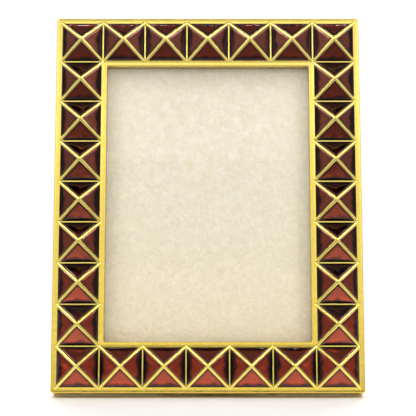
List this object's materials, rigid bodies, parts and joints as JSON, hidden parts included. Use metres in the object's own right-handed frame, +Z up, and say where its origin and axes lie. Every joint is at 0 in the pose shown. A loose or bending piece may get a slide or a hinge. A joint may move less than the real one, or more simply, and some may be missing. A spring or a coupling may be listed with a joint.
{
  "type": "picture frame",
  "caption": "Leaning table picture frame: gilt cast border of garnet enamel pyramid studs round a window, with glass, fabric back panel, turn buttons and a folding easel leg.",
  "frame": {"origin": "on the surface that the frame stands on, midway between its foremost and rearmost points and between its sides", "axes": "+Z up, -Y towards the viewer, +X to the right as seen from the front"},
  "size_m": [0.1832, 0.0776, 0.2243],
  "materials": {
    "gold_plate": "satin gold plating over cast metal, brighter on its rounded edges",
    "garnet_enamel": "glossy translucent dark garnet enamel",
    "glass": "clear polished",
    "insert_paper": "matte cream paper with a faint mottle",
    "backing_card": "matte grey card",
    "board": "smooth pressed hardboard",
    "back_fabric": "short pile black velveteen",
    "gold_hardware": "polished brass"
  },
  "bodies": {
    "frame": {"frame_casting": "gold_plate", "enamel_top_1": "garnet_enamel", "enamel_top_2": "garnet_enamel", "enamel_top_3": "garnet_enamel", "enamel_top_4": "garnet_enamel", "enamel_top_5": "garnet_enamel", "enamel_top_6": "garnet_enamel", "enamel_top_7": "garnet_enamel", "enamel_bottom_1": "garnet_enamel", "enamel_bottom_2": "garnet_enamel", "enamel_bottom_3": "garnet_enamel", "enamel_bottom_4": "garnet_enamel", "enamel_bottom_5": "garnet_enamel", "enamel_bottom_6": "garnet_enamel", "enamel_bottom_7": "garnet_enamel", "enamel_left_1": "garnet_enamel", "enamel_left_2": "garnet_enamel", "enamel_left_3": "garnet_enamel", "enamel_left_4": "garnet_enamel", "enamel_left_5": "garnet_enamel", "enamel_left_6": "garnet_enamel", "enamel_left_7": "garnet_enamel", "enamel_right_1": "garnet_enamel", "enamel_right_2": "garnet_enamel", "enamel_right_3": "garnet_enamel", "enamel_right_4": "garnet_enamel", "enamel_right_5": "garnet_enamel", "enamel_right_6": "garnet_enamel", "enamel_right_7": "garnet_enamel", "glass_pane": "glass", "photo_insert": "insert_paper", "backing_card": "backing_card", "back_board": "board", "back_fabric": "back_fabric", "button_screws": "gold_hardware", "hinge_plate": "gold_hardware", "hinge_pin": "gold_hardware", "panel_rivets": "gold_hardware"},
    "easel_leg": {"hinge_leaf": "gold_hardware", "leg_rivets": "gold_hardware", "leg_board": "board", "leg_fabric": "back_fabric"},
    "turn_button_1": {"turn_button_1": "gold_hardware"},
    "turn_button_2": {"turn_button_2": "gold_hardware"},
    "turn_button_3": {"turn_button_3": "gold_hardware"},
    "turn_button_4": {"turn_button_4": "gold_hardware"}
  },
  "joints": [
    {"name": "leg_fold", "type": "hinge", "parent": "frame", "child": "easel_leg", "pos_m": [0, 0.01568, 0.14299], "axis": [-1, 0, 0], "range_deg": [0, 22]},
    {"name": "button_1_turn", "type": "hinge", "parent": "frame", "child": "turn_button_1", "pos_m": [-0.0688, 0.0198, 0.16874], "axis": [0, -0.9724, 0.2334], "continuous": true},
    {"name": "button_2_turn", "type": "hinge", "parent": "frame", "child": "turn_button_2", "pos_m": [-0.0688, -0.00816, 0.05225], "axis": [0, -0.9724, 0.2334], "continuous": true},
    {"name": "button_3_turn", "type": "hinge", "parent": "frame", "child": "turn_button_3", "pos_m": [0.0688, 0.0198, 0.16874], "axis": [0, -0.9724, 0.2334], "continuous": true},
    {"name": "button_4_turn", "type": "hinge", "parent": "frame", "child": "turn_button_4", "pos_m": [0.0688, -0.00816, 0.05225], "axis": [0, -0.9724, 0.2334], "continuous": true}
  ]
}
